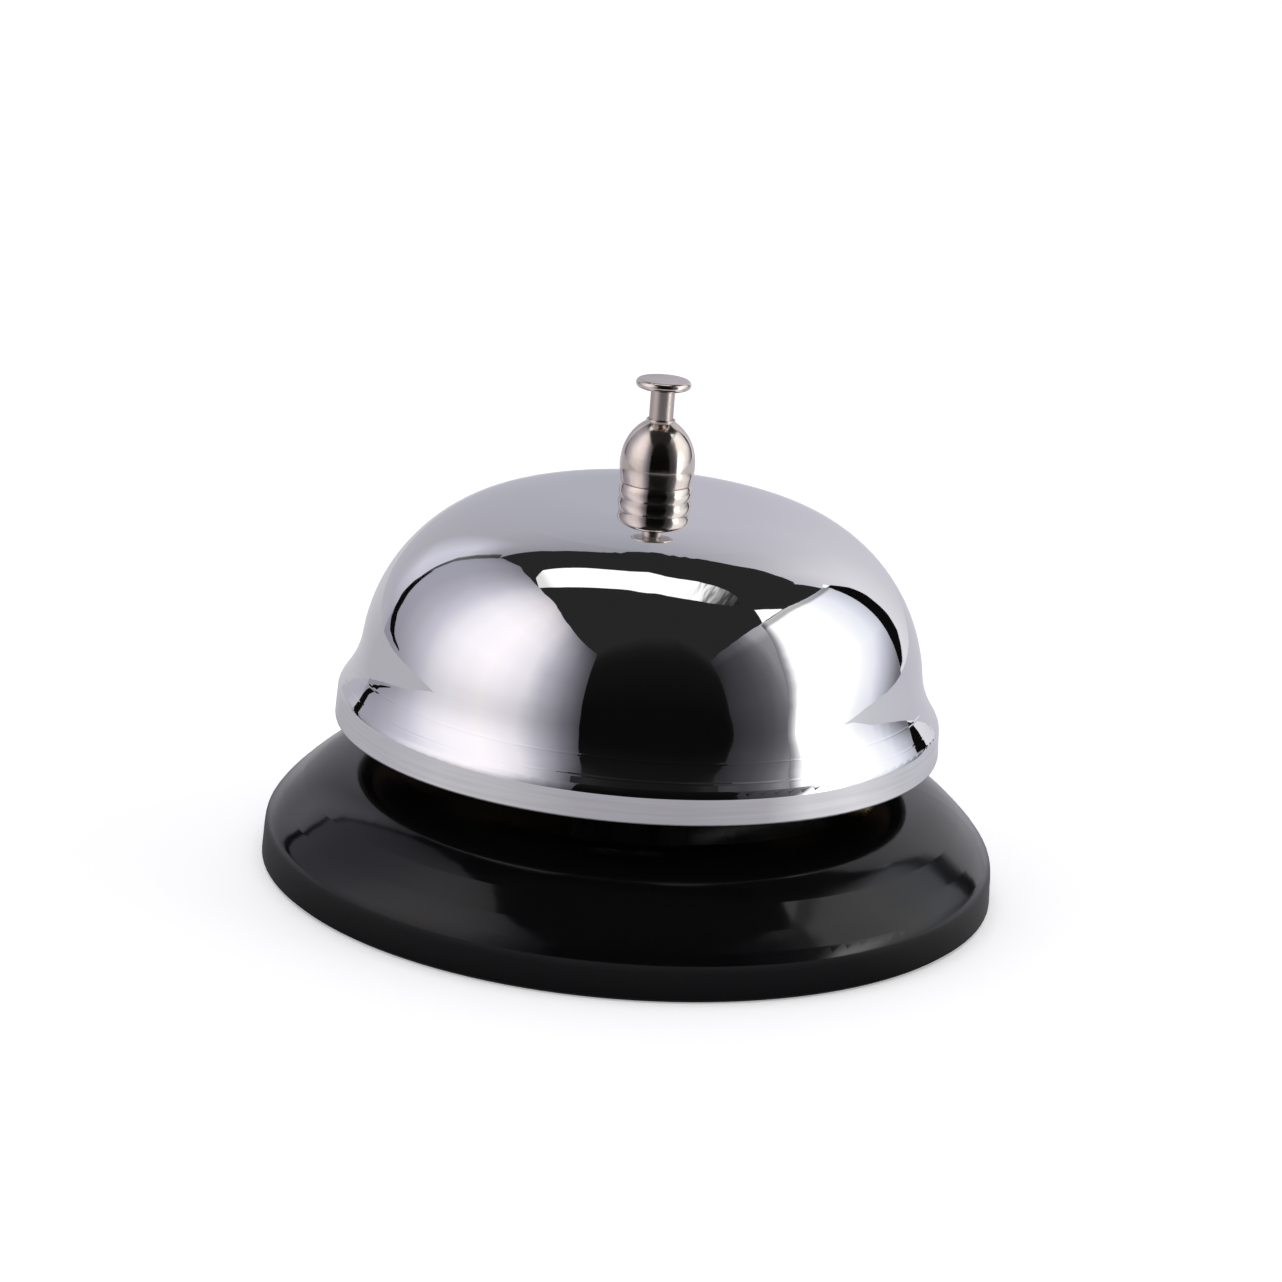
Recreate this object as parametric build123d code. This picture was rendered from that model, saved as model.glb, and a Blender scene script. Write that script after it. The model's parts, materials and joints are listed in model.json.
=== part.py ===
from build123d import *
from math import cos, sin, pi, radians
import os

# Counter bell struck by a plunger. Millimetres, +Z up, origin at the centre of the resting plane.
# The hammer swings in the XZ plane and the frame's two legs stand at +Y and -Y.

# Driving dimensions
foot_stand = 0.4            # how far the rubber foot ring lifts the base skirt
base_bottom_r = 42.54
base_sheet = 0.9
plateau_r = 28.8            # flat middle of the base, where the frame stands
plateau_z = 13.0
dome_wall = 1.0
dome_flat_r = 9.66          # flat seat at the crown, under the cap nut
dome_top_z = 44.7
travel = 3.0                # stroke of the push button
button_top_z = 58.4
button_bottom_z = 57.35
button_r = 3.15
stem_r = 1.38
running_gap = 0.06          # radial clearance of the sliding and turning fits
close_gap = 0.02            # radial clearance of parts that are fastened together

# Frame and post
frame_half_width = 6.5      # along X
frame_inner_y = 5.0
frame_sheet = 1.5
frame_top_z = 31.0
foot_outer_y = 13.5
rivet_y = 10.0
rivet_r = 1.25
post_r = 3.0                # major radius of the post's thread
post_bore_r = 2.05
post_ledge_z = 32.5
post_top_z = 50.5
thread_pitch = 1.0
thread_depth = 0.4

# Hammer
pivot_x = 4.2
pivot_z = 24.5
pin_r = 1.0
swing_deg = 40.2            # hammer angle over the full stroke of the button
short_arm = travel / 2 / sin(radians(swing_deg / 2))
nose_r = 0.9
nose_gap = 0.2
long_arm = 23.1
head_r = 2.9
lever_half_width = 1.5

# Stack that holds the dome
gasket_h = 0.8
seat_washer_h = 0.6
seat_nut_h = 2.8
nut_washer_h = 1.65
dome_hole_r = 3.15
cap_shoulder_z = 50.6

# Stem and spring
collar_top_z = 50.5
collar_h = 1.0
collar_r = 1.98
wire_r = 0.17
spring_mean_r = 1.68
spring_turns = 14
spring_seat_h = 0.4


def direction(normal_deg):
    """Unit vector of an outline's outward normal, at an angle above the horizontal."""
    return Vector(cos(radians(normal_deg)), sin(radians(normal_deg)))


def down_outline(start, normal, steps):
    """Edges of an outline that runs downwards and outwards from start, tangent all the way.

    A step is (radius, end normal) for an arc, negative for a hollow one, or (length, None) for a line.
    """
    edges = []
    point = Vector(*start)
    for size, end in steps:
        if end is None:
            tangent = Vector(sin(radians(normal)), -cos(radians(normal)))
            target = point + tangent * size
            edges.append(Line(point, target))
        else:
            centre = point - direction(normal) * size
            middle = centre + direction((normal + end) / 2) * size
            target = centre + direction(end) * size
            edges.append(ThreePointArc(point, middle, target))
            normal = end
        point = target
    return edges, point


def inward(steps, wall):
    """The same outline, one wall thickness inside."""
    return [(size, None) if end is None else (size - wall, end) for size, end in steps]


def turned(edges):
    """Solid of revolution about Z of a closed outline of (radius, height)."""
    return revolve(Plane.XZ * make_face(edges), Axis.Z)


def sheet_turned(start, steps, wall):
    """Pressed sheet of constant wall, open at its centre, from start down to its lower edge."""
    outer, outer_end = down_outline(start, 90, steps)
    inner, inner_end = down_outline((start[0], start[1] - wall), 90, inward(steps, wall))
    close_top = Line(start, (start[0], start[1] - wall))
    close_bottom = Line(outer_end, inner_end)
    return turned(outer + [close_bottom] + inner + [close_top])


def ring(r_in, r_out, z_low, z_high):
    """Plain washer or tube about Z."""
    height = z_high - z_low
    tube = Cylinder(r_out, height) - Cylinder(r_in, height + 1)
    return Pos(0, 0, (z_low + z_high) / 2) * tube


def disc(radius, z_low, z_high):
    return Pos(0, 0, (z_low + z_high) / 2) * Cylinder(radius, z_high - z_low)


def along_y(radius, y_low, y_high):
    """Cylinder about the hammer's pivot axis."""
    placed = Rot(90, 0, 0) * Cylinder(radius, y_high - y_low)
    return Pos(pivot_x, (y_low + y_high) / 2, pivot_z) * placed


def edge_break(shape, z, size):
    """Rounds the circular edges that lie at one height."""
    chosen = [e for e in shape.edges() if abs(e.bounding_box().min.Z - z) < 1e-4
              and abs(e.bounding_box().max.Z - z) < 1e-4]
    return fillet(chosen, size)


def make_foot_ring():
    """Rubber ring pressed inside the skirt, with a lip that the skirt's edge stands on."""
    lip_r = 42.2
    body_r = 41.35
    bore_r = 37.6
    height = 3.2
    section = Polyline((bore_r, 0.5), (bore_r + 0.5, 0), (lip_r - 0.15, 0), (lip_r, 0.15),
                       (lip_r, foot_stand), (body_r, foot_stand), (body_r - 0.15, height),
                       (bore_r, height), (bore_r, 0.5))
    return turned(section)


def make_base_shell():
    """Pressed steel base: flat middle, convex shoulder, tight knee and short skirt, open below."""
    shoulder = [(13.9, 48), (46, 44), (12, 33), (3.1, 8), (9, 3), (3.1, None)]
    shell = sheet_turned((plateau_r, plateau_z), shoulder, base_sheet)
    shell -= disc(base_bottom_r + 1, foot_stand - 1, foot_stand)
    shell += disc(plateau_r + 0.01, plateau_z - base_sheet, plateau_z)
    for side in (-1, 1):
        hole = Cylinder(rivet_r + close_gap, 4 * base_sheet)
        shell -= Pos(0, side * rivet_y, plateau_z) * hole
    return shell


def make_bell_frame():
    """Steel strip bent to an inverted U, its feet turned outwards on the base."""
    top = frame_top_z
    low = plateau_z
    inside = frame_inner_y
    outside = frame_inner_y + frame_sheet
    height = low + frame_sheet
    strip = Polyline((inside, low), (foot_outer_y, low), (foot_outer_y, height), (outside, height),
                     (outside, top), (-outside, top), (-outside, height), (-foot_outer_y, height),
                     (-foot_outer_y, low), (-inside, low), (-inside, top - frame_sheet),
                     (inside, top - frame_sheet), (inside, low))
    frame = extrude(Plane.YZ * make_face(strip), frame_half_width, both=True)
    outer_bends = [e for e in frame.edges().filter_by(Axis.X)
                   if abs(e.center().Z - top) < 1e-3 or
                   (abs(abs(e.center().Y) - inside) < 1e-3 and abs(e.center().Z - low) < 1e-3)]
    frame = fillet(outer_bends, frame_sheet)
    foot_corners = [e for e in frame.edges().filter_by(Axis.Z) if abs(e.center().Y) > foot_outer_y - 0.01]
    frame = fillet(foot_corners, 2.5)
    frame -= disc(2.5 + close_gap, top - 2 * frame_sheet, top + 1)
    frame -= along_y(pin_r + close_gap, -10, 10)
    for side in (-1, 1):
        frame -= Pos(0, side * rivet_y, low) * Cylinder(rivet_r + close_gap, 6)
    return frame


def make_frame_rivets():
    """Two rivets with domed heads on the frame's feet and formed tails under the base."""
    head_seat = plateau_z + frame_sheet
    tail_seat = plateau_z - base_sheet
    head_h = 0.9
    head_wide = 2.3
    tail_h = 0.6
    crown_r = (head_wide ** 2 + head_h ** 2) / 2 / head_h
    crown = Pos(0, 0, head_seat + head_h - crown_r) * Sphere(crown_r)
    head = crown & disc(head_wide, head_seat, head_seat + head_h + 1)
    tail = edge_break(disc(2.1, tail_seat - tail_h, tail_seat), tail_seat - tail_h, 0.25)
    rivet = head + disc(rivet_r, tail_seat - 0.01, head_seat + 0.01) + tail
    return Compound([(Pos(0, side * rivet_y, 0) * rivet).solid() for side in (-1, 1)])


def make_center_post():
    """Threaded tube staked into the frame. The stem slides in it and the return spring sits in it."""
    spigot_r = 2.5
    stake_r = 3.3
    stake_z = frame_top_z - frame_sheet
    thread_low = frame_top_z + 1.0
    turns = int((post_top_z - 0.5 - thread_low) / thread_pitch)
    points = [(stem_r + running_gap, stake_z - 0.5), (stake_r - 0.2, stake_z - 0.5), (stake_r, stake_z),
              (spigot_r, stake_z), (spigot_r, frame_top_z), (post_r, frame_top_z)]
    for turn in range(turns):
        z = thread_low + turn * thread_pitch
        points += [(post_r, z), (post_r - thread_depth, z + thread_pitch * 0.4),
                   (post_r, z + thread_pitch * 0.8)]
    points += [(post_r, post_top_z - 0.3), (post_r - 0.3, post_top_z), (post_bore_r, post_top_z),
               (post_bore_r, post_ledge_z), (stem_r + running_gap, post_ledge_z)]
    return turned(Polyline(*points, close=True))


def make_pivot_pin():
    """Hammer pin through both legs, headed at one end and grooved for its clip at the other."""
    leg = frame_inner_y + frame_sheet
    pin = along_y(pin_r, -leg, leg + 1.3) + along_y(1.8, -leg - 0.7, -leg)
    groove = along_y(pin_r + 1, leg + 0.1, leg + 0.7) - along_y(pin_r - 0.25, leg, leg + 1)
    return pin - groove


def make_pin_clip():
    """Spring clip in the pin's groove, open on one side."""
    leg = frame_inner_y + frame_sheet
    clip = along_y(2.1, leg + 0.15, leg + 0.65) - along_y(pin_r - 0.25 + close_gap, leg, leg + 1)
    mouth = Box(4, 2, 1.3)
    return clip - Pos(pivot_x + 2, leg + 0.5, pivot_z) * mouth


def make_pivot_spacers():
    """Two short tubes that keep the hammer in the middle of the frame."""
    tubes = []
    for side in (-1, 1):
        y_low, y_high = sorted((side * (lever_half_width + 0.2), side * (frame_inner_y - 0.03)))
        bore = along_y(pin_r + close_gap, y_low - 1, y_high + 1)
        tubes.append((along_y(1.8, y_low, y_high) - bore).solid())
    return Compound(tubes)


def make_rest_pad():
    """Felt disc on the base, where the hammer's head comes to rest."""
    head_x = pivot_x + long_arm * cos(radians(swing_deg / 2))
    return Pos(head_x, 0, 0) * edge_break(disc(3.0, plateau_z, plateau_z + 0.5), plateau_z + 0.5, 0.15)


def make_seat_nut(top_z):
    """Thin hexagon nut that sets the dome's height on the post."""
    flats = 10.0
    corner_r = flats / 2 / cos(pi / 6)
    body = Pos(0, 0, top_z - seat_nut_h) * extrude(RegularPolygon(corner_r, 6), seat_nut_h)
    top_chamfer = Pos(0, 0, top_z - seat_nut_h / 2) * Cylinder(corner_r - 0.1, seat_nut_h)
    top_chamfer = chamfer(top_chamfer.edges().filter_by(GeomType.CIRCLE), 0.35)
    return (body & top_chamfer) - disc(post_r + close_gap, top_z - 2 * seat_nut_h, top_z + 1)


def make_bell_dome():
    """Spun steel bell: flat crown, two-radius shoulder, hollow flare and upright rim."""
    profile = [(27.9, 70.6), (20.2, 7), (-11.0, 33), (1.0, None), (1.7, 3), (3.05, None)]
    dome = sheet_turned((dome_flat_r, dome_top_z), profile, dome_wall)
    dome += disc(dome_flat_r + 0.01, dome_top_z - dome_wall, dome_top_z)
    dome -= disc(dome_hole_r, dome_top_z - 2 * dome_wall, dome_top_z + 1)
    rim = dome.edges().filter_by(GeomType.CIRCLE).sort_by(lambda e: e.center().Z)[:2]
    return fillet(rim, 0.3)


def make_nut_washer():
    """Turned ring with a rounded edge between the dome and the cap nut."""
    low = dome_top_z
    high = dome_top_z + nut_washer_h
    bore = post_r + close_gap
    section = [Line((bore, low), (4.04, low)),
               ThreePointArc((4.04, low), (4.22, (low + high) / 2), (3.98, high)),
               Line((3.98, high), (bore, high)),
               Line((bore, high), (bore, low))]
    return turned(section)


def make_cap_nut():
    """Bullet-shaped nut screwed on the post. Its collar guides the stem and its shoulder stops it."""
    low = dome_top_z + nut_washer_h
    collar_outer = 1.67
    collar_high = 53.8
    # Above its widest point the outline is a slow arc, then a tighter one up to the collar
    widest = Vector(4.3, 48.4)
    slow_r = 8.0
    slow_angle = 10.0
    tight_r = 5.5
    tight_angle = 58.1
    slow_centre = widest - direction(0) * slow_r
    join = slow_centre + direction(slow_angle) * slow_r
    tight_centre = join - direction(slow_angle) * tight_r
    top = tight_centre + direction(tight_angle) * tight_r
    guide = stem_r + running_gap
    section = [Line((guide, collar_high), (collar_outer - 0.06, collar_high)),
               Line((collar_outer - 0.06, collar_high), (collar_outer, collar_high - 0.08)),
               Line((collar_outer, collar_high - 0.08), top),
               ThreePointArc(top, tight_centre + direction((tight_angle + slow_angle) / 2) * tight_r, join),
               ThreePointArc(join, slow_centre + direction(slow_angle / 2) * slow_r, widest),
               ThreePointArc(widest, (4.23, 47.5), (4.1, 46.7)),
               ThreePointArc((4.1, 46.7), (4.05, 46.5), (3.9, low)),
               Line((3.9, low), (post_r + close_gap, low)),
               Line((post_r + close_gap, low), (post_r + close_gap, cap_shoulder_z)),
               Line((post_r + close_gap, cap_shoulder_z), (guide, cap_shoulder_z)),
               Line((guide, cap_shoulder_z), (guide, collar_high))]
    return turned(section)


def make_push_button():
    """Flat round button with a rolled edge, socketed on the stem."""
    low = button_bottom_z
    high = button_top_z
    half = (high - low) / 2
    socket_r = 0.9
    section = [Line((0, high), (button_r - half, high)),
               ThreePointArc((button_r - half, high), (button_r, high - half), (button_r - half, low)),
               Line((button_r - half, low), (socket_r, low)),
               Line((socket_r, low), (socket_r, low + half)),
               Line((socket_r, low + half), (0, low + half)),
               Line((0, low + half), (0, high))]
    return turned(section)


def make_plunger_stem(tip_z):
    """Long rod from the button down to the hammer, with a tenon for the button."""
    tenon_r = 0.9 - close_gap
    tenon_h = 0.5
    low = button_bottom_z
    section = Polyline((0, tip_z), (stem_r - 0.4, tip_z), (stem_r, tip_z + 0.4), (stem_r, low),
                       (tenon_r, low), (tenon_r, low + tenon_h), (0, low + tenon_h), close=True)
    return turned(section)


def make_stem_collar():
    """Ring pressed on the stem: the spring pushes it up against the cap nut's shoulder."""
    section = Polyline((stem_r, collar_top_z - collar_h), (collar_r, collar_top_z - collar_h),
                       (collar_r, collar_top_z - 0.15), (collar_r - 0.15, collar_top_z),
                       (stem_r, collar_top_z), close=True)
    return turned(section)


def make_return_spring():
    """Compression spring between the seat washer in the post and the stem's collar."""
    low = post_ledge_z + spring_seat_h + wire_r + 0.02
    height = collar_top_z - collar_h - wire_r - 0.02 - low
    coil = Pos(0, 0, low) * Helix(height / spring_turns, height, spring_mean_r)
    section = Plane(origin=coil @ 0, z_dir=coil % 0) * Circle(wire_r)
    return sweep(section, path=coil)


def make_hammer_lever():
    """Rocking lever drawn level: a nose under the stem at one end, a round tenon at the other."""
    boss_r = 2.2
    bar_top = 0.2
    bar_low = -1.3
    arm_half = 0.8
    root = long_arm - head_r - 0.6
    short_bar = Polyline((-short_arm, bar_low + 0.5), (-short_arm, bar_top), (0, bar_top), (0, bar_low),
                         (-short_arm + 0.7, bar_low), close=True)
    long_bar = Polyline((0, -1.3), (root - 4, -arm_half), (root, -arm_half), (root, arm_half),
                        (root - 4, arm_half), (0, 1.3), close=True)
    outline = make_face(short_bar) + make_face(long_bar) + Circle(boss_r)
    outline += Pos(-short_arm, 0) * Circle(nose_r)
    outline -= Circle(pin_r + running_gap)
    lever = extrude(Plane.XZ * outline, lever_half_width, both=True)
    tenon_start = root - 0.5
    tenon_end = long_arm + head_r - 0.5
    tenon = Rot(0, 90, 0) * Cylinder(0.75, tenon_end - tenon_start)
    lever += Pos((tenon_start + tenon_end) / 2, 0, 0) * tenon
    return at_rest(lever)


def make_hammer_head():
    """Turned brass slug on the lever's tenon, rounded where it strikes the bell."""
    half = 2.5
    slug = Pos(long_arm, 0, 0) * (Sphere(head_r) & (Rot(0, 90, 0) * Cylinder(head_r, 2 * half)))
    bore = Rot(0, 90, 0) * Cylinder(0.75 + close_gap, 4 * head_r)
    return at_rest(slug - Pos(long_arm, 0, 0) * bore)


def at_rest(part):
    """Tilts a level hammer part to the rest angle and puts it on the pivot."""
    return Pos(pivot_x, 0, pivot_z) * (Rot(0, swing_deg / 2, 0) * part)


gasket_top = dome_top_z - dome_wall
washer_top = gasket_top - gasket_h
nut_top = washer_top - seat_washer_h
stem_tip_z = pivot_z + travel / 2 + nose_r + nose_gap

parts = {
    "foot_ring": make_foot_ring(),
    "base_shell": make_base_shell(),
    "frame_rivets": make_frame_rivets(),
    "bell_frame": make_bell_frame(),
    "center_post": make_center_post(),
    "pivot_pin": make_pivot_pin(),
    "pin_clip": make_pin_clip(),
    "pivot_spacers": make_pivot_spacers(),
    "rest_pad": make_rest_pad(),
    "seat_nut": make_seat_nut(nut_top),
    "seat_washer": ring(post_r + close_gap, 6.0, nut_top, washer_top),
    "dome_gasket": ring(post_r + close_gap, 6.6, washer_top, gasket_top),
    "bell_dome": make_bell_dome(),
    "nut_washer": make_nut_washer(),
    "cap_nut": make_cap_nut(),
    "push_button": make_push_button(),
    "plunger_stem": make_plunger_stem(stem_tip_z),
    "stem_collar": make_stem_collar(),
    "spring_seat": ring(stem_r + running_gap, post_bore_r - close_gap, post_ledge_z,
                        post_ledge_z + spring_seat_h),
    "return_spring": make_return_spring(),
    "hammer_lever": make_hammer_lever(),
    "hammer_head": make_hammer_head(),
}

os.makedirs("parts", exist_ok=True)
for name, shape in parts.items():
    export_step(shape, "parts/" + name + ".step")
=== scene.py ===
import bpy
import json
from math import cos, sin, tan, radians
from mathutils import Matrix, Vector


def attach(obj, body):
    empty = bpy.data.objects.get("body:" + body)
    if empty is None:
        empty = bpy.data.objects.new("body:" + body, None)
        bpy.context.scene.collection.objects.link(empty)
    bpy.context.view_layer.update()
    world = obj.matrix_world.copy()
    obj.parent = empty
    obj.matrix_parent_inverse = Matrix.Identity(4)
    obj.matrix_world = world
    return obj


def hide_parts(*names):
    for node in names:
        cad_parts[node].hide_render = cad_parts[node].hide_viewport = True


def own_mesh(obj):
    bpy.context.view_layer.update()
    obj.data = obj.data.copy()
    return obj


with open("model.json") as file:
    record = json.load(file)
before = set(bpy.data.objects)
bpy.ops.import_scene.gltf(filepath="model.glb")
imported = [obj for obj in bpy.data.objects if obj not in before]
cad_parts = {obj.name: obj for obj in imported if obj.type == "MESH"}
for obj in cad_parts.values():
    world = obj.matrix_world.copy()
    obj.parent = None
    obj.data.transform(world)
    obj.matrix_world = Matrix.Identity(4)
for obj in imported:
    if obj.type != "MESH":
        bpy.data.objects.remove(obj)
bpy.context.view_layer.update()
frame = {"nodes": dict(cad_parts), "record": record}
nodes = frame["nodes"]

# Studio, in metres and degrees. Azimuth 0 is the side the camera stands on, positive to its right.
SHELL_CENTRE_Z = 0.03     # about the middle of the bell
BACKDROP_RADIUS = 1.6
PANEL_STEP = 0.2
CEILING_RADIUS = BACKDROP_RADIUS + PANEL_STEP
SOFTBOX_RADIUS = BACKDROP_RADIUS - PANEL_STEP
FRAME_RADIUS = SOFTBOX_RADIUS - PANEL_STEP / 2
PANEL_GAP = 0.02          # between panels that overlap
FOOT = [(0, -17)]         # lower edge of the panels
SKEW_TOP = 0.55           # height on a panel from which a skewed light is no longer moved
OVERHEAD = 1.3            # height of the overhead softbox
OVERHEAD_MIDDLE = (-0.03, 0.1)
CROWN_Z = 0.04            # where the dome mirrors that softbox
FLOOR_REACH = [(0, 4.0)]
FLOOR_STEPS = 128
TABLE_REACH = [(-180, 0.6), (-110, 0.5), (-85, 0.34), (-60, 0.25), (58, 0.24), (80, 0.30), (105, 0.45),
               (180, 0.6)]
TABLE_STEPS = 120
TABLE_BELOW_FLOOR = 0.0004

# Finishes, in metres and linear colour
CHROME = (0.80, 0.80, 0.815)
INSIDE_METAL = (0.16, 0.12, 0.08)
INSIDE_POINT = (0, 0, 0.008)      # low on the axis: the dome's outside faces away from it
RIM_TOP = 0.0206
RIM_FADE = 0.0006
CREASE_LOW = 0.0215
CREASE_HIGH = 0.0245
CREASE_WANDER = 0.0003

# Camera, in metres, degrees and millimetres of lens
SENSOR_WIDTH = 36
CAMERA_DISTANCE = 0.400
CAMERA_HEIGHT = 0.1429
CAMERA_ASIDE = -0.0003
CAMERA_PITCH = 16.09
CAMERA_ROLL = 4.45
CAMERA_LENS = 101.52


# ---------------------------------------------------------------- node helpers
def new_material(name):
    material = bpy.data.materials.new(name)
    material.use_nodes = True
    tree = material.node_tree
    tree.nodes.clear()
    return material, tree


def add(tree, kind, **values):
    """A node with its properties and its unlinked inputs set by name."""
    node = tree.nodes.new(kind)
    for key, value in values.items():
        if hasattr(node, key):
            setattr(node, key, value)
        else:
            node.inputs[key.replace("_", " ")].default_value = value
    return node


def link(tree, source, output, target, socket):
    tree.links.new(source.outputs[output], target.inputs[socket])


def ramp(tree, stops):
    """Colour ramp from (position, grey or colour) stops."""
    node = tree.nodes.new("ShaderNodeValToRGB")
    elements = node.color_ramp.elements
    while len(elements) < len(stops):
        elements.new(0.5)
    for element, (position, value) in zip(elements, stops):
        element.position = position
        colour = value if isinstance(value, tuple) else (value, value, value)
        element.color = (*colour, 1)
    return node


def noise(tree, scale, detail=3.0, roughness=0.5, stretch=None, turn=0.0):
    """Noise in object coordinates, which may be scaled by axis and turned about Z."""
    source, output = add(tree, "ShaderNodeTexCoord"), "Object"
    if stretch:
        mapping = add(tree, "ShaderNodeMapping")
        mapping.inputs["Rotation"].default_value = (0, 0, radians(turn))
        mapping.inputs["Scale"].default_value = stretch
        link(tree, source, output, mapping, "Vector")
        source, output = mapping, "Vector"
    node = add(tree, "ShaderNodeTexNoise", Scale=scale, Detail=detail, Roughness=roughness)
    link(tree, source, output, node, "Vector")
    return node


def map_range(tree, source, output, first, last, to=(0.0, 1.0)):
    """Clamped change of range, from first..last to the two values of to."""
    node = add(tree, "ShaderNodeMapRange", From_Min=first, From_Max=last, To_Min=to[0], To_Max=to[1])
    link(tree, source, output, node, "Value")
    return node


def multiply(tree, one, one_output, other, other_output):
    """Product of two colours, or of a colour and a value."""
    node = add(tree, "ShaderNodeVectorMath", operation="MULTIPLY")
    link(tree, one, one_output, node, 0)
    link(tree, other, other_output, node, 1)
    return node


def faded(tree, mask, mask_output, values):
    """The colour of values where the mask is 1, and 1 where it is 0."""
    depth = add(tree, "ShaderNodeMath", operation="SUBTRACT")
    link(tree, values, "Color", depth, 0)
    depth.inputs[1].default_value = 1.0
    node = add(tree, "ShaderNodeMath", operation="MULTIPLY_ADD")
    link(tree, mask, mask_output, node, 0)
    link(tree, depth, "Value", node, 1)
    node.inputs[2].default_value = 1.0
    return node


def emit(tree, source, output):
    """Emission of a colour, wired to the output."""
    emission = add(tree, "ShaderNodeEmission")
    link(tree, source, output, emission, "Color")
    material_output = add(tree, "ShaderNodeOutputMaterial")
    link(tree, emission, "Emission", material_output, "Surface")


def surface(tree, **values):
    """Principled shader wired to the output."""
    shader = tree.nodes.new("ShaderNodeBsdfPrincipled")
    for key, value in values.items():
        socket = shader.inputs[key.replace("_", " ")]
        if isinstance(value, tuple):
            value = (*value, 1)
        socket.default_value = value
    output = tree.nodes.new("ShaderNodeOutputMaterial")
    link(tree, shader, "BSDF", output, "Surface")
    return shader


def vary_roughness(tree, shader, scale, low, high):
    """Roughness that drifts between two values over the surface."""
    source = noise(tree, scale, detail=4)
    values = ramp(tree, [(0.35, low), (0.65, high)])
    link(tree, source, "Fac", values, "Fac")
    link(tree, values, "Color", shader, "Roughness")


def bump(tree, height_node, height_output, target, strength, distance):
    """Bump from a height into the Normal input of a shader or of another bump."""
    node = add(tree, "ShaderNodeBump", Strength=strength, Distance=distance)
    link(tree, height_node, height_output, node, "Height")
    link(tree, node, "Normal", target, "Normal")
    return node


# ---------------------------------------------------------------- materials
def bell_chrome():
    """Bright chrome outside, marked where it was spun and turned, and dull brown metal inside the bell."""
    material, tree = new_material("bell_chrome")
    shader = surface(tree, Base_Color=CHROME, Metallic=1.0, Roughness=0.03)
    place = add(tree, "ShaderNodeTexCoord")
    centre = add(tree, "ShaderNodeVectorMath", operation="SUBTRACT")
    centre.inputs[1].default_value = INSIDE_POINT
    link(tree, place, "Object", centre, 0)
    geometry = add(tree, "ShaderNodeNewGeometry")
    outward = add(tree, "ShaderNodeVectorMath", operation="DOT_PRODUCT")
    link(tree, centre, "Vector", outward, 0)
    link(tree, geometry, "True Normal", outward, 1)
    side = ramp(tree, [(0.0, INSIDE_METAL), (0.001, CHROME)])
    link(tree, outward, "Value", side, "Fac")
    # Turning marks round the upright rim
    lines = noise(tree, 2200, detail=4, stretch=(0.03, 0.03, 1.0))
    marks = ramp(tree, [(0.35, 0.90), (0.65, 1.0)])
    link(tree, lines, "Fac", marks, "Fac")
    split = add(tree, "ShaderNodeSeparateXYZ")
    link(tree, place, "Object", split, "Vector")
    on_rim = map_range(tree, split, "Z", RIM_TOP, RIM_TOP - RIM_FADE)
    factor = faded(tree, on_rim, "Result", marks)
    marked = multiply(tree, side, "Color", factor, "Value")
    link(tree, marked, "Vector", shader, "Base Color")
    # Rough inside, polished outside with faint drifts in the polish
    gloss = ramp(tree, [(0.0, 0.35), (0.001, 0.0)])
    link(tree, outward, "Value", gloss, "Fac")
    drift = noise(tree, 60, detail=5)
    spread = ramp(tree, [(0.3, 0.01), (0.7, 0.035)])
    link(tree, drift, "Fac", spread, "Fac")
    total = add(tree, "ShaderNodeMath", operation="ADD")
    link(tree, gloss, "Color", total, 0)
    link(tree, spread, "Color", total, 1)
    link(tree, total, "Value", shader, "Roughness")
    # Two faint creases where the spun sheet turns into the flare, and a slight unevenness all over
    wander = noise(tree, 45, detail=1)
    shifted = add(tree, "ShaderNodeMath", operation="MULTIPLY_ADD")
    shifted.inputs[1].default_value = CREASE_WANDER
    link(tree, wander, "Fac", shifted, 0)
    link(tree, split, "Z", shifted, 2)
    band = map_range(tree, shifted, "Value", CREASE_LOW, CREASE_HIGH)
    ridges = ramp(tree, [(0.0, 0.0), (0.10, 0.0), (0.15, 0.8), (0.20, 0.0), (0.74, 0.0), (0.79, 1.0),
                         (0.84, 0.0), (1.0, 0.0)])
    link(tree, band, "Result", ridges, "Fac")
    waves = noise(tree, 55, detail=2)
    uneven = bump(tree, waves, "Fac", shader, strength=0.02, distance=0.001)
    bump(tree, ridges, "Color", uneven, strength=0.12, distance=0.0001)
    return material


def nickel():
    """Bright nickel with a warm cast, and tarnish that drifts over it as a browner tint."""
    material, tree = new_material("nickel")
    shader = surface(tree, Base_Color=(0.73, 0.665, 0.605), Metallic=1.0, Roughness=0.1)
    vary_roughness(tree, shader, scale=300, low=0.07, high=0.15)
    cloud = noise(tree, 260, detail=4)
    tint = ramp(tree, [(0.35, (0.66, 0.58, 0.52)), (0.6, (0.75, 0.69, 0.63))])
    link(tree, cloud, "Fac", tint, "Fac")
    link(tree, tint, "Color", shader, "Base Color")
    return material


def satin_nickel():
    """The stem's nickel, worn to a satin by the nut that it slides in."""
    material, tree = new_material("satin_nickel")
    shader = surface(tree, Base_Color=(0.60, 0.53, 0.49), Metallic=1.0, Roughness=0.32)
    vary_roughness(tree, shader, scale=500, low=0.27, high=0.38)
    scratches = noise(tree, 2500, detail=2, stretch=(1.0, 1.0, 0.04))
    bump(tree, scratches, "Fac", shader, strength=0.08, distance=0.0001)
    return material


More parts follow.
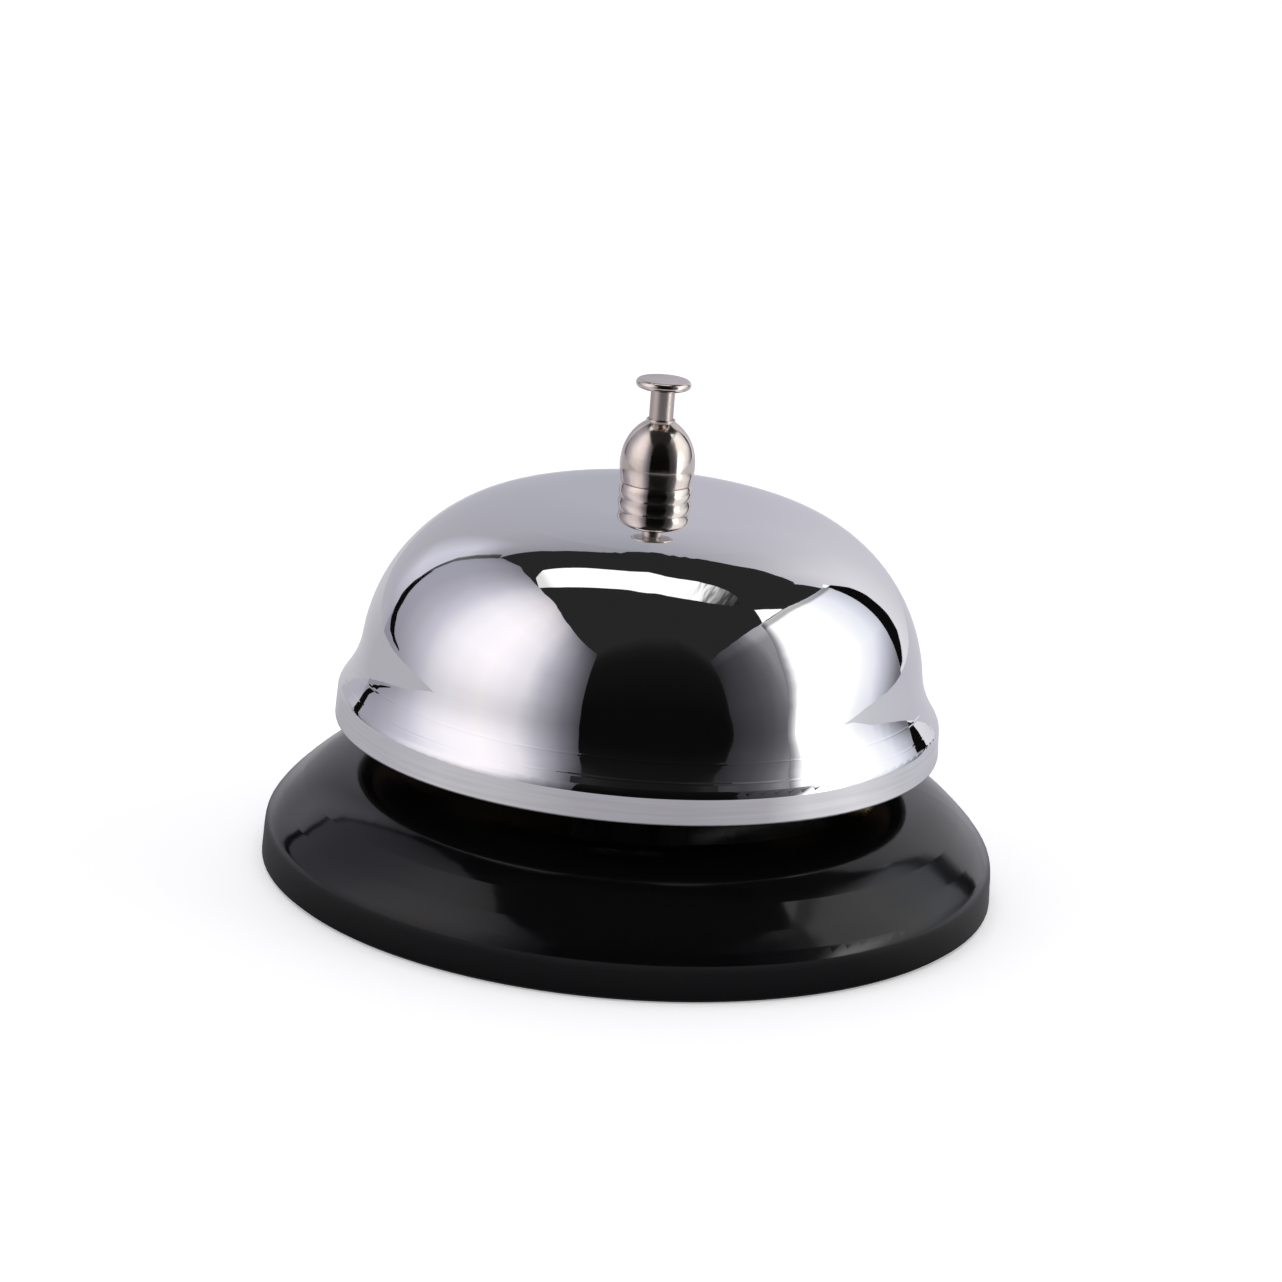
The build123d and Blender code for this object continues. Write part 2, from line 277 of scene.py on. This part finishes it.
def black_enamel():
    """Gloss black stove enamel with a faint orange peel."""
    material, tree = new_material("black_enamel")
    shader = surface(tree, Base_Color=(0.003, 0.003, 0.0035), Roughness=0.1, IOR=1.4)
    vary_roughness(tree, shader, scale=90, low=0.08, high=0.16)
    peel = noise(tree, 220, detail=2)
    bump(tree, peel, "Fac", shader, strength=0.03, distance=0.0005)
    return material


def zinc_steel():
    """Zinc-plated pressed steel, fine-grained and slightly cloudy."""
    material, tree = new_material("zinc_steel")
    shader = surface(tree, Base_Color=(0.58, 0.59, 0.60), Metallic=1.0, Roughness=0.3)
    vary_roughness(tree, shader, scale=400, low=0.22, high=0.42)
    cloud = noise(tree, 180, detail=5)
    tint = ramp(tree, [(0.3, (0.50, 0.51, 0.52)), (0.7, (0.64, 0.64, 0.62))])
    link(tree, cloud, "Fac", tint, "Fac")
    link(tree, tint, "Color", shader, "Base Color")
    grain = noise(tree, 2500, detail=2)
    bump(tree, grain, "Fac", shader, strength=0.15, distance=0.00005)
    return material


def spring_steel():
    """Dark drawn wire with an oiled look."""
    material, tree = new_material("spring_steel")
    shader = surface(tree, Base_Color=(0.30, 0.30, 0.31), Metallic=1.0, Roughness=0.25)
    vary_roughness(tree, shader, scale=900, low=0.18, high=0.35)
    return material


def brass():
    """Turned brass, a little tarnished."""
    material, tree = new_material("brass")
    shader = surface(tree, Base_Color=(0.75, 0.56, 0.24), Metallic=1.0, Roughness=0.22)
    vary_roughness(tree, shader, scale=500, low=0.16, high=0.34)
    stain = noise(tree, 260, detail=5)
    tint = ramp(tree, [(0.3, (0.55, 0.37, 0.14)), (0.65, (0.80, 0.60, 0.27))])
    link(tree, stain, "Fac", tint, "Fac")
    link(tree, tint, "Color", shader, "Base Color")
    return material


def black_rubber():
    """Matt moulded rubber."""
    material, tree = new_material("black_rubber")
    shader = surface(tree, Base_Color=(0.018, 0.018, 0.018), Roughness=0.65, IOR=1.45)
    vary_roughness(tree, shader, scale=600, low=0.55, high=0.75)
    grain = noise(tree, 3500, detail=2)
    bump(tree, grain, "Fac", shader, strength=0.3, distance=0.00008)
    return material


def grey_felt():
    """Pressed wool felt."""
    material, tree = new_material("grey_felt")
    shader = surface(tree, Base_Color=(0.16, 0.16, 0.15), Roughness=0.95, Sheen_Weight=0.4)
    fibres = noise(tree, 4000, detail=6, roughness=0.7)
    tint = ramp(tree, [(0.3, 0.08), (0.7, 0.24)])
    link(tree, fibres, "Fac", tint, "Fac")
    link(tree, tint, "Color", shader, "Base Color")
    bump(tree, fibres, "Fac", shader, strength=0.6, distance=0.0002)
    return material


FINISHES = {
    "bell_chrome": bell_chrome, "nickel": nickel, "black_paint": black_enamel, "zinc_steel": zinc_steel,
    "spring_steel": spring_steel, "brass": brass, "black_rubber": black_rubber, "grey_felt": grey_felt,
}
OWN_FINISH = {"plunger_stem": satin_nickel}


def finish_nodes():
    """Gives every CAD node its own finish, or else that of its material slot in the record."""
    made = {key: make() for key, make in (*FINISHES.items(), *OWN_FINISH.items())}
    for entry in frame["record"]["subparts"]:
        mesh = nodes[entry["node"]].data
        material = made[entry["node"] if entry["node"] in OWN_FINISH else entry["material_slot"]]
        if len(mesh.materials) == 0:
            mesh.materials.append(material)
        for index in range(len(mesh.materials)):
            mesh.materials[index] = material


def compressing_spring():
    """The return spring again, as a copy with a mesh of its own that hangs on the base, in place of the
    hidden node.
    """
    node = nodes["return_spring"]
    coil = bpy.data.objects.new("return_spring_coil", node.data.copy())
    coil.matrix_world = node.matrix_world
    bpy.context.scene.collection.objects.link(coil)
    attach(coil, "base")
    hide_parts("return_spring")
    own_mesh(coil)


# ---------------------------------------------------------------- studio
def glow(name, stops, heights=((0.0, 1.0), (1.0, 1.0)), lift=None, skew=0.0):
    """Emission that changes over a light panel: stops along its UV's u, and a dimming factor along v.

    lift is a second pair of such ramps that is added. skew moves the stops to the left low on the panel.
    """
    material, tree = new_material(name)
    place = add(tree, "ShaderNodeTexCoord")
    split = add(tree, "ShaderNodeSeparateXYZ")
    link(tree, place, "UV", split, "Vector")
    along = split, "X"
    if skew:
        below = map_range(tree, split, "Y", SKEW_TOP, 0.0, to=(1.0 / (1.0 + skew), 1.0))
        moved = add(tree, "ShaderNodeMath", operation="MULTIPLY")
        link(tree, split, "X", moved, 0)
        link(tree, below, "Result", moved, 1)
        along = moved, "Value"
    light = None
    for across_stops, height_stops in [(stops, heights)] + ([lift] if lift else []):
        across = ramp(tree, across_stops)
        link(tree, along[0], along[1], across, "Fac")
        upward = ramp(tree, height_stops)
        link(tree, split, "Y", upward, "Fac")
        layer = multiply(tree, across, "Color", upward, "Color")
        if light:
            both = add(tree, "ShaderNodeVectorMath", operation="ADD")
            link(tree, light, "Vector", both, 0)
            link(tree, layer, "Vector", both, 1)
            layer = both
        light = layer
    emit(tree, light, "Vector")
    return material


def toward(azimuth, elevation, radius):
    """Point of the studio in that direction from the middle of the bell."""
    a, e = radians(azimuth), radians(elevation)
    return Vector((sin(a) * cos(e), -cos(a) * cos(e), sin(e))) * radius + Vector((0, 0, SHELL_CENTRE_Z))


def panel(name, radius, azimuths, low, high, material, columns=48, rows=16, lean=None):
    """Curved panel between two azimuths. low and high give its lower and upper edge by azimuth, and lean
    gives the azimuth of its left edge by elevation."""
    mesh = bpy.data.meshes.new(name)
    vertices, faces, uvs = [], [], []
    for row in range(rows + 1):
        for column in range(columns + 1):
            u, v = column / columns, row / rows
            azimuth = azimuths[0] + (azimuths[1] - azimuths[0]) * u
            if lean:
                left = edge(lean, part_way(low, high, azimuth, v))
                azimuth = left + (azimuths[1] - left) * u
            vertices.append(toward(azimuth, part_way(low, high, azimuth, v), radius))
            uvs.append((u, v))
    for row in range(rows):
        for column in range(columns):
            first = row * (columns + 1) + column
            faces.append((first, first + 1, first + columns + 2, first + columns + 1))
    mesh.from_pydata(vertices, [], faces)
    layer = mesh.uv_layers.new(name="UVMap")
    for loop in mesh.loops:
        layer.data[loop.index].uv = uvs[loop.vertex_index]
    return studio_object(name, mesh, material)


def edge(points, azimuth):
    """Value of an edge at an azimuth, between the nearest two of its (azimuth, value) points."""
    if azimuth <= points[0][0]:
        return points[0][1]
    for (a0, e0), (a1, e1) in zip(points, points[1:]):
        if azimuth <= a1:
            return e0 + (e1 - e0) * (azimuth - a0) / (a1 - a0)
    return points[-1][1]


def part_way(low, high, azimuth, v):
    """Elevation at a fraction v of the way from the lower to the upper edge."""
    bottom, top = edge(low, azimuth), edge(high, azimuth)
    return bottom + (top - bottom) * v


def studio_object(name, mesh, material, lights_diffuse=True):
    """A piece of the studio that the camera itself doesn't see."""
    piece = bpy.data.objects.new(name, mesh)
    bpy.context.scene.collection.objects.link(piece)
    mesh.materials.append(material)
    piece.visible_camera = False
    piece.visible_shadow = False
    piece.visible_diffuse = lights_diffuse
    return piece


def build_backdrop():
    """Dark ceiling over everything, and a grey backdrop left and right of the middle of the back."""
    dark = glow("studio_dark", [(0.0, 0.024), (1.0, 0.024)])
    panel("shell_ceiling", CEILING_RADIUS, (-180, 180), FOOT, [(0, 90)], dark, columns=72, rows=24)
    back_left = glow("studio_back_left", [(0.0, (0.49, 0.49, 0.55)), (0.6, (0.49, 0.48, 0.53)),
                                          (0.8, (0.49, 0.48, 0.54)), (1.0, (0.43, 0.42, 0.47))],
                     [(0.0, 1.1), (0.4, 1.0), (0.75, 0.97), (0.9, 0.85), (1.0, 0.7)],
                     lift=([(0.0, 0.0), (0.6, 0.0), (0.78, (0.26, 0.26, 0.30)), (1.0, (0.24, 0.23, 0.28))],
                           [(0.0, 0.0), (0.3, 0.0), (0.5, 1.0), (0.8, 1.0), (0.93, 0.0), (1.0, 0.0)]))
    panel("backdrop_left", BACKDROP_RADIUS, (-180, -128), FOOT,
          [(-180, 58), (-165, 57.5), (-150, 54.5), (-140, 50), (-132, 46)], back_left)
    back_right = glow("studio_back_right", [(0.0, (0.86, 0.85, 0.90)), (0.2, (0.86, 0.85, 0.90)),
                                            (0.5, (0.70, 0.69, 0.74)), (1.0, (0.56, 0.55, 0.62))],
                      [(0.0, 1.0), (0.6, 1.0), (0.8, 0.9), (1.0, 0.7)])
    panel("backdrop_right", BACKDROP_RADIUS, (129, 180), FOOT,
          [(131, 47.5), (137, 51.5), (145, 54), (152, 56.5), (180, 57.5)], back_right)


def build_left_softbox():
    """Wide softbox on the left, brightest near its middle."""
    left = glow("studio_left", [(0.0, (0.42, 0.41, 0.49)), (0.10, (0.43, 0.42, 0.49)),
                                (0.19, (0.53, 0.52, 0.59)), (0.28, (0.72, 0.70, 0.80)),
                                (0.37, (1.02, 0.99, 1.05)), (0.46, (1.18, 1.13, 1.20)),
                                (0.60, (1.26, 1.19, 1.22)), (0.67, (1.16, 1.10, 1.16)),
                                (0.75, (0.98, 0.94, 1.00)), (0.83, (0.55, 0.54, 0.60)),
                                (0.92, (0.23, 0.225, 0.26)), (0.98, (0.09, 0.088, 0.10)), (1.0, 0.05)],
                [(0.0, 0.66), (0.12, 0.70), (0.22, 0.77), (0.35, 0.90), (0.5, 1.0), (0.75, 1.0),
                 (0.87, 0.88), (0.95, 0.72), (1.0, 0.55)])
    panel("softbox_left", SOFTBOX_RADIUS, (-131.5, -20.5), FOOT,
          [(-131.5, 47), (-124, 54), (-110, 58), (-95, 60.5), (-80, 61), (-70, 60.5), (-60, 58.5),
           (-45, 53.5), (-30, 46), (-20.5, 41)], left)


def build_right_softbox():
    """Bright softbox on the right with a dim side wall, a white corner on top and a glint at its far edge."""
    shade = glow("studio_shade", [(0.0, (0.024, 0.024, 0.027)), (0.10, (0.042, 0.042, 0.047)),
                                  (0.31, (0.076, 0.074, 0.085)), (0.42, (0.112, 0.110, 0.122)),
                                  (0.53, (0.18, 0.178, 0.19)), (0.62, (0.30, 0.30, 0.31)),
                                  (1.0, (0.42, 0.42, 0.43))],
                 [(0.0, 0.5), (0.25, 0.8), (0.5, 1.0), (0.9, 0.95), (0.95, 1.3), (1.0, 1.3)])
    panel("softbox_right_side", SOFTBOX_RADIUS, (34, 82), FOOT,
          [(34, 41), (40, 45), (50, 49), (60, 51.5), (70, 53), (82, 53.5)], shade)
    right = glow("studio_right", [(0.0, (0.20, 0.20, 0.21)), (0.018, (0.40, 0.39, 0.41)), (0.04, 0.9),
                                  (0.06, 1.35), (0.37, 1.35), (0.417, (1.19, 1.20, 1.22)),
                                  (0.506, (1.01, 1.03, 1.12)), (0.59, (0.69, 0.71, 0.80)),
                                  (0.673, (0.43, 0.44, 0.49)), (0.76, (0.20, 0.20, 0.23)), (1.0, 0.1)],
                 [(0.0, 0.85), (0.4, 1.0), (0.955, 1.0), (0.97, 0.42), (0.99, 0.42), (1.0, 0.6)],
                 lift=([(0.0, 0.0), (0.04, 0.1), (0.08, 2.4), (0.18, 2.2), (0.3, 0.0), (1.0, 0.0)],
                       [(0.0, 1.0), (0.32, 1.0), (0.48, 0.25), (0.6, 0.0), (1.0, 0.0)]), skew=0.68)
    panel("softbox_right", SOFTBOX_RADIUS - PANEL_GAP, (60, 130.5), FOOT,
          [(60, 51), (79, 53), (90, 52.5), (99, 51.5), (105, 50), (110, 48), (120, 43.5), (130.5, 38)], right,
          lean=[(-14, 59.5), (0, 60.5), (20, 63), (32, 65.5), (40, 70), (46, 73.5), (53, 77)])
    white = glow("studio_white", [(0.0, 1.4), (1.0, 1.4)])
    panel("softbox_right_corner", SOFTBOX_RADIUS - PANEL_GAP, (79, 100),
          [(79, 53.4), (90, 52.9), (100, 51.6)], [(79, 53.5), (84, 57), (88, 59.5), (93, 57), (100, 51.8)],
          white, columns=21, rows=4)
    panel("softbox_right_glint", SOFTBOX_RADIUS - 3 * PANEL_GAP, (129.8, 132), [(129.8, 37.5), (132, 36)],
          [(129.8, 38.5), (132, 38)], white, columns=4, rows=2)


def build_front():
    """Dark panel in front, on the side the camera stands on."""
    black = glow("studio_black", [(0.0, 0.0045), (1.0, 0.0045)],
                 [(0.0, 0.8), (0.4, 0.85), (0.6, 1.3), (0.8, 1.7), (0.9, 2.6), (1.0, 5.0)])
    panel("front_black", FRAME_RADIUS, (-22, 38), FOOT,
          [(-22, 42), (-14, 50), (0, 56), (20, 56), (28, 50), (34, 40), (36, 22), (38, 0)], black)


def build_frames():
    """Dark lines where the softboxes end and the backdrop begins."""
    faint_outline = glow("studio_faint_outline", [(0.0, 0.30), (0.5, 0.12), (1.0, 0.2)],
                         [(0.0, 0.15), (0.3, 0.5), (0.6, 1.0), (1.0, 0.4)])
    panel("frame_left_top", FRAME_RADIUS, (-135, -131), [(0, 14)], [(0, 46)], faint_outline, columns=6,
          lean=[(14, -131.5), (30, -133), (46, -135)])
    outline = glow("studio_outline", [(0.0, 0.004), (1.0, 0.004)])
    panel("frame_left", FRAME_RADIUS, (-132.5, -114), [(-132.5, 8), (-130, 2), (-126, -0.6), (-114, -1.8)],
          [(-132.5, 14), (-130.5, 24), (-129, 13), (-126.5, 5), (-122, 0.8), (-114, -1.2)], outline,
          columns=40)
    panel("frame_right", FRAME_RADIUS, (130.5, 138.8), [(130.5, -2.5), (134, -2), (138.8, 4)],
          [(130.5, 37), (133, 35), (136, 27), (138, 16), (138.8, 9)], outline, columns=20)


def overhead_light():
    """Light of the overhead softbox: even on the left, fading in fine streaks towards its right end."""
    material, tree = new_material("studio_overhead")
    place = add(tree, "ShaderNodeTexCoord")
    split = add(tree, "ShaderNodeSeparateXYZ")
    link(tree, place, "Object", split, "Vector")
    across = map_range(tree, split, "X", -0.5 * OVERHEAD, 0.5 * OVERHEAD)
    light = ramp(tree, [(0.0, 0.9), (0.06, 1.4), (0.72, 1.4), (0.77, 1.0), (0.83, 0.34), (0.89, 0.12),
                        (0.95, 0.03)])
    link(tree, across, "Result", light, "Fac")
    # Slanting streaks that only show where the light fades
    lines = noise(tree, 55 / OVERHEAD, detail=2, stretch=(1.0, 0.06, 1.0), turn=-25)
    dark_lines = ramp(tree, [(0.40, 0.25), (0.55, 1.0)])
    link(tree, lines, "Fac", dark_lines, "Fac")
    region = ramp(tree, [(0.0, 0.0), (0.66, 0.0), (0.76, 0.9), (1.0, 0.9)])
    link(tree, across, "Result", region, "Fac")
    factor = faded(tree, region, "Color", dark_lines)
    emit(tree, multiply(tree, light, "Color", factor, "Value"), "Vector")
    return material


def build_overhead():
    """Long flat softbox overhead. Its outline is where the dome mirrors it, by azimuth and elevation."""
    outline = [(-180, 74.5), (-165, 74.5), (-150, 72), (-140, 68.5), (-132, 65), (-122, 60.5), (-110, 59.5),
               (-96, 60), (-94, 70), (-91, 79), (-85, 85), (-50, 87.4), (0, 88), (50, 87.2), (62, 84),
               (72, 79), (79, 72), (84, 66), (92, 64.5), (102, 66), (112, 68.5), (122, 71), (135, 73.5),
               (150, 76), (165, 76.5)]
    vertices = [Vector((*OVERHEAD_MIDDLE, OVERHEAD))]
    for azimuth, elevation in outline:
        a, reach = radians(azimuth), (OVERHEAD - CROWN_Z) / tan(radians(elevation))
        vertices.append(Vector((sin(a) * reach, -cos(a) * reach, OVERHEAD)))
    count = len(outline)
    mesh = bpy.data.meshes.new("softbox_overhead")
    mesh.from_pydata(vertices, [], [(0, 1 + i, 1 + (i + 1) % count) for i in range(count)])
    box = studio_object("softbox_overhead", mesh, overhead_light())
    # A flag keeps this light off the base
    unlit = bpy.data.collections.new("shaded_from_overhead")
    unlit.objects.link(nodes["base_shell"])
    unlit.collection_objects[0].light_linking.link_state = "EXCLUDE"
    box.light_linking.receiver_collection = unlit


def flat_mesh(name, reach, steps):
    """Flat face round the origin. reach gives the distance of its edge by azimuth."""
    rim = []
    for step in range(steps):
        azimuth = 360 * step / steps - 180
        rim.append(Vector((sin(radians(azimuth)), -cos(radians(azimuth)), 0)) * edge(reach, azimuth))
    mesh = bpy.data.meshes.new(name)
    mesh.from_pydata(rim, [], [tuple(range(steps))])
    return mesh


def build_floor():
    """Pale floor that the camera sees and the metal doesn't mirror."""
    floor = bpy.data.objects.new("floor", flat_mesh("floor", FLOOR_REACH, FLOOR_STEPS))
    bpy.context.scene.collection.objects.link(floor)
    floor.visible_glossy = False
    material, tree = new_material("pale_floor")
    surface(tree, Base_Color=(0.86, 0.86, 0.87), Roughness=0.7, Specular_IOR_Level=0.2,
            Emission_Color=(1.0, 1.0, 1.0), Emission_Strength=0.35)
    floor.data.materials.append(material)


def painted_table_light():
    """Painted light of the glowing table top round the bell: brighter or dimmer by direction, and a painted
    shadow that keeps the light off it close by.
    """
    material, tree = new_material("painted_table_light")
    place = add(tree, "ShaderNodeTexCoord")
    turn = add(tree, "ShaderNodeMapping")
    turn.inputs["Rotation"].default_value = (0, 0, radians(90))
    link(tree, place, "Object", turn, "Vector")
    round_about = add(tree, "ShaderNodeTexGradient", gradient_type="RADIAL")
    link(tree, turn, "Vector", round_about, "Vector")
    # Painted light by direction: from the back, over the left, the front and the right
    light = ramp(tree, [(0.0, (0.62, 0.61, 0.65)), (0.08, (0.62, 0.61, 0.65)), (0.14, (0.50, 0.49, 0.53)),
                        (0.25, (0.53, 0.52, 0.56)), (0.32, (0.64, 0.63, 0.66)), (0.38, (0.60, 0.59, 0.62)),
                        (0.45, (0.45, 0.44, 0.47)), (0.55, (0.43, 0.42, 0.45)), (0.62, (0.49, 0.48, 0.51)),
                        (0.66, (0.80, 0.79, 0.82)), (0.71, (0.88, 0.87, 0.90)), (0.78, (0.66, 0.66, 0.70)),
                        (0.86, (0.60, 0.59, 0.65)), (1.0, (0.66, 0.65, 0.71))])
    link(tree, round_about, "Fac", light, "Fac")
    away = add(tree, "ShaderNodeVectorMath", operation="LENGTH")
    link(tree, place, "Object", away, 0)
    # Painted shadow of the bell: the glow fades towards the middle
    shade = ramp(tree, [(0.0, 0.02), (0.044, 0.2), (0.06, 0.62), (0.075, 0.95), (0.09, 1.0)])
    link(tree, away, "Value", shade, "Fac")
    emit(tree, multiply(tree, light, "Color", shade, "Color"), "Vector")
    return material


def build_table():
    """Table top that glows with painted light and a painted shadow round the bell, dimmer than the floor,
    that only the metal mirrors.
    """
    mesh = flat_mesh("table_top", TABLE_REACH, TABLE_STEPS)
    table = studio_object("table_top", mesh, painted_table_light(), lights_diffuse=False)
    table.location.z = -TABLE_BELOW_FLOOR


def build_world():
    """Even white light from all round."""
    world = bpy.data.worlds.new("studio_world")
    bpy.context.scene.world = world
    world.use_nodes = True
    background = world.node_tree.nodes["Background"]
    background.inputs["Color"].default_value = (1.0, 1.0, 1.0, 1)
    background.inputs["Strength"].default_value = 1.0


def area_light(name, place, target, size, power):
    """Soft light that the metal doesn't mirror."""
    data = bpy.data.lights.new(name, "AREA")
    data.shape = "RECTANGLE"
    data.size, data.size_y = size
    data.energy = power
    lamp = bpy.data.objects.new(name, data)
    lamp.location = place
    aim = Vector(target) - Vector(place)
    lamp.rotation_euler = aim.to_track_quat("-Z", "Y").to_euler()
    lamp.visible_glossy = False
    bpy.context.scene.collection.objects.link(lamp)


def build_camera():
    """Camera at the height, distance and tilt that fit the object's outlines."""
    data = bpy.data.cameras.new("camera")
    data.lens = CAMERA_LENS
    data.sensor_width = SENSOR_WIDTH
    data.clip_start = 0.01
    camera = bpy.data.objects.new("camera", data)
    turn = Matrix.Rotation(radians(90 - CAMERA_PITCH), 4, "X") @ Matrix.Rotation(radians(CAMERA_ROLL), 4, "Z")
    place = Matrix.Translation((CAMERA_ASIDE, -CAMERA_DISTANCE, CAMERA_HEIGHT))
    camera.matrix_world = place @ turn
    bpy.context.scene.collection.objects.link(camera)
    bpy.context.scene.camera = camera


finish_nodes()
compressing_spring()
build_backdrop()
build_left_softbox()
build_right_softbox()
build_front()
build_frames()
build_overhead()
build_floor()
build_table()
build_world()
area_light("fill", place=(0, 0.2, 1.4), target=(0, 0, 0), size=(1.6, 1.6), power=14)
build_camera()
bpy.context.scene.view_settings.view_transform = "Standard"
bpy.context.scene.view_settings.look = "None"
